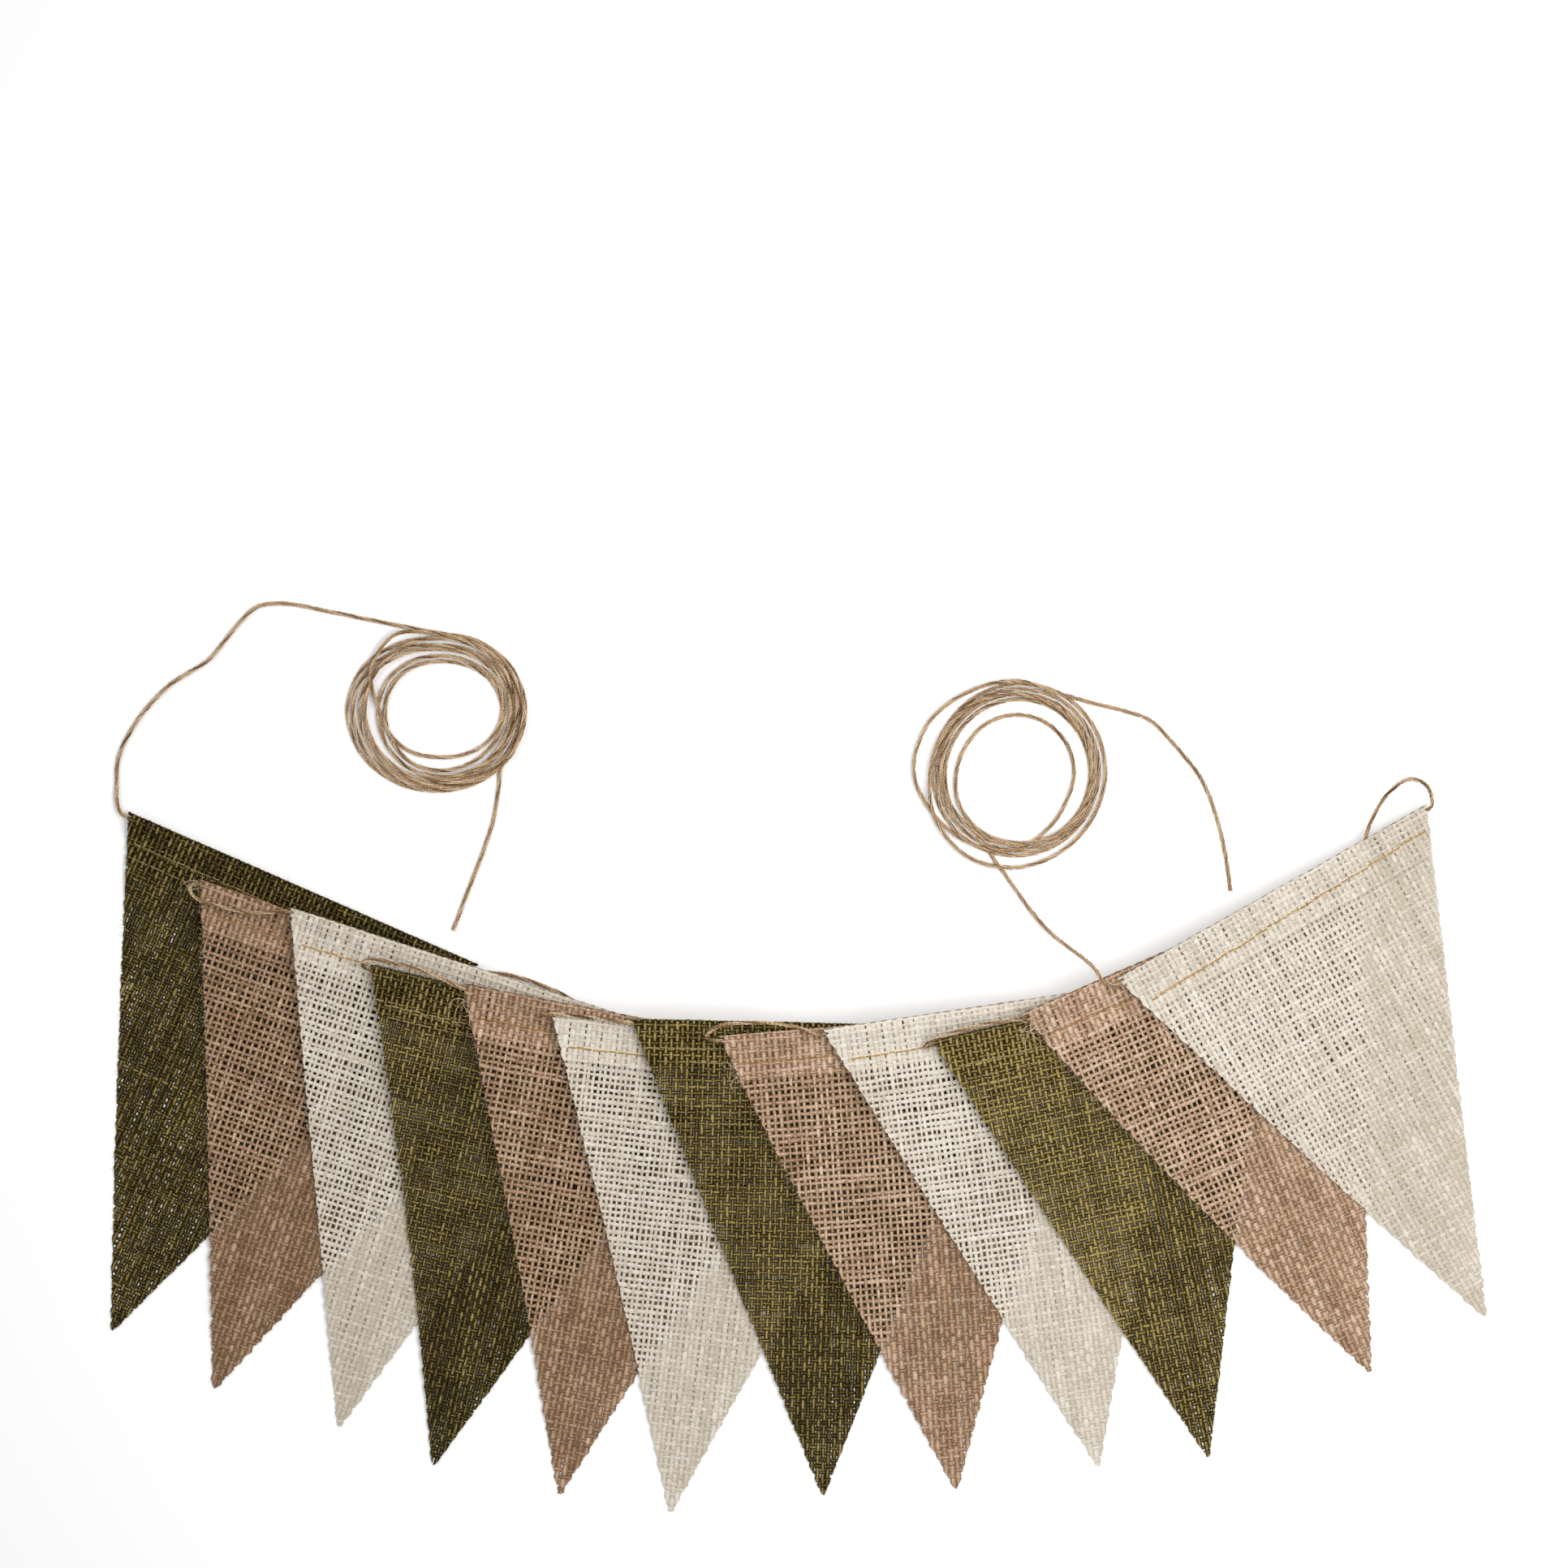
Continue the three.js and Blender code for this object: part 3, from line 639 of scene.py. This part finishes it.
def frays(cloth, tubes):
    """Stray fibres along the cut edges and on the face, and loose threads at some corners."""
    p = cloth.p
    c, s = axes(p)
    for _ in range(EDGE_FIBRES[p["colour"]]):
        down = p["drop"] * (1 - math.sqrt(rng.uniform()))
        side = rng.choice([-1, 1])
        u = left_edge(p, down) if side < 0 else right_edge(p, down)
        at = cloth(u, cloth.body_at(down), rng.uniform(*EDGE_OFF))
        way = np.array([side * c, side * s, 0]) + rng.normal(0, EDGE_SPREAD, 3) * EDGE_FLAT
        hair(tubes, at, way, rng.uniform(*EDGE_LONG))
    for _ in range(FACE_FIBRES):
        down = p["drop"] * (1 - math.sqrt(rng.uniform()))
        u = rng.uniform(left_edge(p, down), right_edge(p, down))
        at = cloth(u, cloth.body_at(down), 0.0) + np.array([0, 0, THREAD])
        way = rng.normal(size=3) * FACE_FLAT
        hair(tubes, at, way, rng.uniform(*FACE_LONG), bend=FACE_BEND)
    along, depth, count = LOOSE.get(cloth.i, (0, 0, 0))
    for _ in range(count):
        down = depth + rng.uniform(*LOOSE_DOWN)
        u = left_edge(p, max(down, 0)) + along * rng.uniform(*LOOSE_ALONG)
        at = cloth(u, cloth.body_at(max(down, LOOSE_LEAST)), HALF)
        way = np.array([-c, -s, 0]) + rng.normal(0, TANGLE_SPREAD, 3) * TANGLE_FLAT
        hair(tubes, at, way, rng.uniform(*TANGLE_LONG), TANGLE_THICK, TANGLE_BEND, TANGLE_POINTS)


def pennant(i):
    """One pennant, thread by thread, with its sewing and its stray fibres."""
    cloth, tubes = Cloth(i), Tubes()
    p = cloth.p
    weave = WEAVE[p["colour"]]
    warps = np.arange(weave["across"] * FIRST_WARP, p["base"], weave["across"])
    warps = warps + rng.normal(0, WARP_SET, len(warps))
    wefts = np.arange(weave["down"] * FIRST_WEFT, cloth.length, weave["down"])
    wefts = wefts + rng.normal(0, WEFT_SET, len(wefts))
    warp_tones = TONES[i] + rng.normal(MIDDLE_TONE + weave["paler"] / 2, TONE_SET, len(warps))
    weft_tones = TONES[i] + rng.normal(MIDDLE_TONE - weave["paler"] / 2, TONE_SET, len(wefts))
    lay_warps(cloth, tubes, weave, warps, wefts, warp_tones)
    lay_wefts(cloth, tubes, weave, warps, wefts, weft_tones)
    stitches(cloth, tubes)
    frays(cloth, tubes)
    looks = [CLOTHS[p["colour"]], SEWING[p["colour"]]]
    ob = tubes.mesh(f"pennant_{i + 1:02d}", looks, rounded=False)
    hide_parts(f"pennant_{i + 1:02d}_{p['colour']}")
    down = cloth.down(cloth.t)


def between(t, start, end, first, last):
    return (end - t) / (end - start) * first + (t - start) / (end - start) * last


def smooth(points, step):
    """Points evenly along a centripetal Catmull-Rom curve."""
    p = np.array(points, float)
    p = np.concatenate([[2 * p[0] - p[1]], p, [2 * p[-1] - p[-2]]])
    out = []
    for k in range(1, len(p) - 2):
        q = p[k - 1:k + 3]
        apart = np.sqrt(np.linalg.norm(np.diff(q, axis=0), axis=1)) + 1e-9
        knots = np.concatenate([[0], np.cumsum(apart)])
        t = np.linspace(knots[1], knots[2], CURVE_STEPS, endpoint=False)[:, None]
        a = [between(t, knots[m], knots[m + 1], q[m], q[m + 1]) for m in range(3)]
        b = [between(t, knots[m], knots[m + 2], a[m], a[m + 1]) for m in range(2)]
        out.append(between(t, knots[1], knots[2], b[0], b[1]))
    out = np.concatenate(out + [p[-2:-1]])
    s = np.concatenate([[0], np.cumsum(np.linalg.norm(np.diff(out, axis=0), axis=1))])
    even = np.linspace(0, s[-1], int(s[-1] / step))
    return np.stack([np.interp(even, s, out[:, m]) for m in range(3)], 1)


def in_heading(i):
    """The twine inside a heading, from left to right."""
    p = PENNANTS[i]
    u = np.linspace(left_edge(p, FOLD_C), right_edge(p, FOLD_C), HEADING_STEPS + 1)
    x, y = place(p, u, FOLD_C)
    return np.stack([x, y, lift(i, x, y) + FOLD_C], 1)


def onward(end, before, by):
    way = end - before
    return end + way / np.linalg.norm(way) * by


def link(i, start, before, inside):
    """The twine between pennant i and the one before it, outside their headings."""
    right = i % 2 == 1
    end = inside[0]
    c, s = axes(PENNANTS[i])
    ahead = np.array([c, s, 0]) * (1 if right else -1)
    aside = np.array([-s, c, 0])
    swing, reach = LINKS[i - 1]
    points = [onward(start, before, STRAIGHT)]
    for along, past, out, up in RIGHT_LINK if right else LEFT_LINK:
        at = start + (end - start) * along + ahead * past * reach + aside * out * swing
        at[2] = max(lift(i if right else i - 1, at[0], at[1]) + up, TWINE / 2)
        points.append(at)
    return points + [onward(end, inside[1], STRAIGHT)]


def heading_route():
    """The twine to and fro through all the headings."""
    points = []
    for i in range(len(PENNANTS)):
        inside = in_heading(i)
        if i % 2:
            inside = inside[::-1]
        if i:
            points.extend(link(i, points[-1], points[-2], inside))
        points.extend(inside)
    return np.array(points)


def coil_route(name):
    """The turns of a loose coil, one after another."""
    coil = COILS[name]
    quarters = [far for _, turn in coil["turns"] for far in turn]
    levels = [z for heights, _ in coil["turns"] for z in heights]
    at, push, run = coil["loop"]
    out = []
    for k in range(round(TURN_POINTS * coil["rounds"]) + 1):
        gone = k / TURN_POINTS
        quarter = min(int(gone * 4), len(quarters) - 1)
        following = quarters[min(quarter + 1, len(quarters) - 1)]
        far = quarters[quarter] + (following - quarters[quarter]) * ease(gone * 4 - quarter)
        far += push * ease(1 - abs(gone - at) / run)
        a = math.radians(coil["start"] - 360 * gone)
        high = np.interp(gone * 2, np.arange(len(levels)), levels)
        out.append((coil["x"] + far * math.cos(a), coil["y"] + far * math.sin(a), float(high)))
    return out


def carried(way):
    """A direction square to the way at each point, turned as little as it can be from one to the next."""
    normal = np.array([0.0, 0.0, 1.0])
    normals = np.empty_like(way)
    for k in range(len(way)):
        normal = normal - way[k] * np.dot(normal, way[k])
        normal /= np.linalg.norm(normal)
        normals[k] = normal
    return normals


def twine(name, points, nodes, step):
    """Strands twisted round a core along a route, with stray fibres."""
    path = smooth(points, step)
    tubes = Tubes()
    n = len(path)
    way = np.gradient(path, axis=0)
    way /= np.linalg.norm(way, axis=1)[:, None]
    normals = carried(way)
    sides = np.cross(way, normals)
    twist = 2 * math.pi * (np.arange(n) * step) / TWIST + np.cumsum(rng.normal(0, TWIST_SHAKE, n))
    strands = [(0, 0, CORE, CORE_SIDES, CORE_TONE)]
    for k in range(STRANDS):
        turn = 2 * math.pi * k / STRANDS
        strands.append((turn, STRAND_OUT, STRAND, STRAND_SIDES, rng.uniform(*STRAND_TONE)))
    for turn, out, fat, corners, tone in strands:
        phase = twist + turn + wander(n, *STRAND_DRIFT)
        mid = path + out * (np.cos(phase)[:, None] * normals + np.sin(phase)[:, None] * sides)
        angle = phase[:, None] + np.arange(corners) * 2 * math.pi / corners
        fat = fat * np.clip(1 + wander(n, *STRAND_SLUB), *STRAND_THICK)
        ring = np.cos(angle)[..., None] * normals[:, None] + np.sin(angle)[..., None] * sides[:, None]
        rings = mid[:, None] + fat[:, None, None] * ring
        rings[..., 2] = np.maximum(rings[..., 2], LEAST_HEIGHT)
        tubes.add(rings, tone + wander(n, *STRAND_SHADE))
    for k in rng.integers(2, n - 2, int(n * TWINE_FIBRES)):
        out = rng.normal(size=3)
        out -= way[k] * np.dot(out, way[k])
        out /= np.linalg.norm(out)
        lean = out + way[k] * rng.normal(0, TWINE_FIBRE_LEAN)
        hair(tubes, path[k] + out * TWINE_FIBRE_OUT, lean, rng.uniform(*TWINE_LONG), TWINE_FIBRE_THICK)
    ob = tubes.mesh(name, [TWINE_LOOK], rounded=True)
    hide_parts(*nodes)
    path[:, 1] -= CENTRE_Y


def free_twine(side, lead, tail, end, before):
    """A free end: out of a heading, round its coil, and on to its cut end."""
    start = [onward(end, before, JOIN_GAP), onward(end, before, JOIN_GAP + STRAIGHT)]
    nodes = [f"twine_lead_{side}", f"twine_coil_{side}", f"twine_tail_{side}"]
    points = [*start, *lead, *coil_route(side), *tail]
    twine(f"twine_{side}", points, nodes, FREE_STEP)


for number in range(len(PENNANTS)):
    pennant(number)
route = heading_route()
twine("twine_through_headings", route, ["twine_run"], HEADING_STEP)
free_twine("left", LEAD_LEFT, TAIL_LEFT, route[0], route[1])
free_twine("right", LEAD_RIGHT, TAIL_RIGHT, route[-1], route[-2])

# Surface
scene = bpy.context.scene
bpy.ops.mesh.primitive_plane_add(size=6, location=(0, 0, 0))
floor = bpy.context.object
floor.name = "floor"
card = bpy.data.materials.new("white card")
card.use_nodes = True
card.node_tree.nodes["Principled BSDF"].inputs["Base Color"].default_value = CARD_WHITE
card.node_tree.nodes["Principled BSDF"].inputs["Roughness"].default_value = CARD_ROUGH
floor.data.materials.append(card)


def lamp(name, at, size, power, aim):
    """A soft square lamp, in metres and watts, that isn't seen itself."""
    data = bpy.data.lights.new(name, "AREA")
    data.size, data.energy = size, power
    ob = bpy.data.objects.new(name, data)
    scene.collection.objects.link(ob)
    ob.location, ob.visible_camera = at, False
    way = np.array(aim) - np.array(at)
    ob.rotation_euler = Vector(way).to_track_quat("-Z", "Y").to_euler()


lamp("over the right end", at=(0.3, 0.1, 0.85), size=0.6, power=7, aim=(0.3, 0.1, 0))
lamp("window", at=(-1.1, 0.9, 1.5), size=0.9, power=9, aim=(0, 0.06, 0))
ROOM_LIGHT = 0.44
world = bpy.data.worlds.new("room")
scene.world = world
world.use_nodes = True
world.node_tree.nodes["Background"].inputs["Color"].default_value = linear("#ffffff")
world.node_tree.nodes["Background"].inputs["Strength"].default_value = ROOM_LIGHT

# Camera straight above, in the photograph's frame
PIXEL = 0.30 * MM                       # of the photograph, on the cloth
FRAME_PIXELS = 1932
ORIGIN_PIXEL = (984, 1426)              # where x and y are 0 in the places above
CLOTH_HEIGHT = 0.012                    # metres over the surface at which a pixel has that size
LENS, SENSOR = 200, 36
middle = FRAME_PIXELS / 2
camera = bpy.data.cameras.new("camera")
camera.lens, camera.sensor_width = LENS, SENSOR
camera.clip_start, camera.clip_end = 0.1, 20
rig = bpy.data.objects.new("camera", camera)
scene.collection.objects.link(rig)
rig.location = (
    (middle - ORIGIN_PIXEL[0]) * PIXEL,
    (ORIGIN_PIXEL[1] - middle) * PIXEL - CENTRE_Y * MM,
    FRAME_PIXELS * PIXEL * LENS / SENSOR + CLOTH_HEIGHT,
)
rig.rotation_euler = (0, 0, 0)
scene.camera = rig
scene.view_settings.view_transform = "Standard"
scene.view_settings.exposure = 0.0
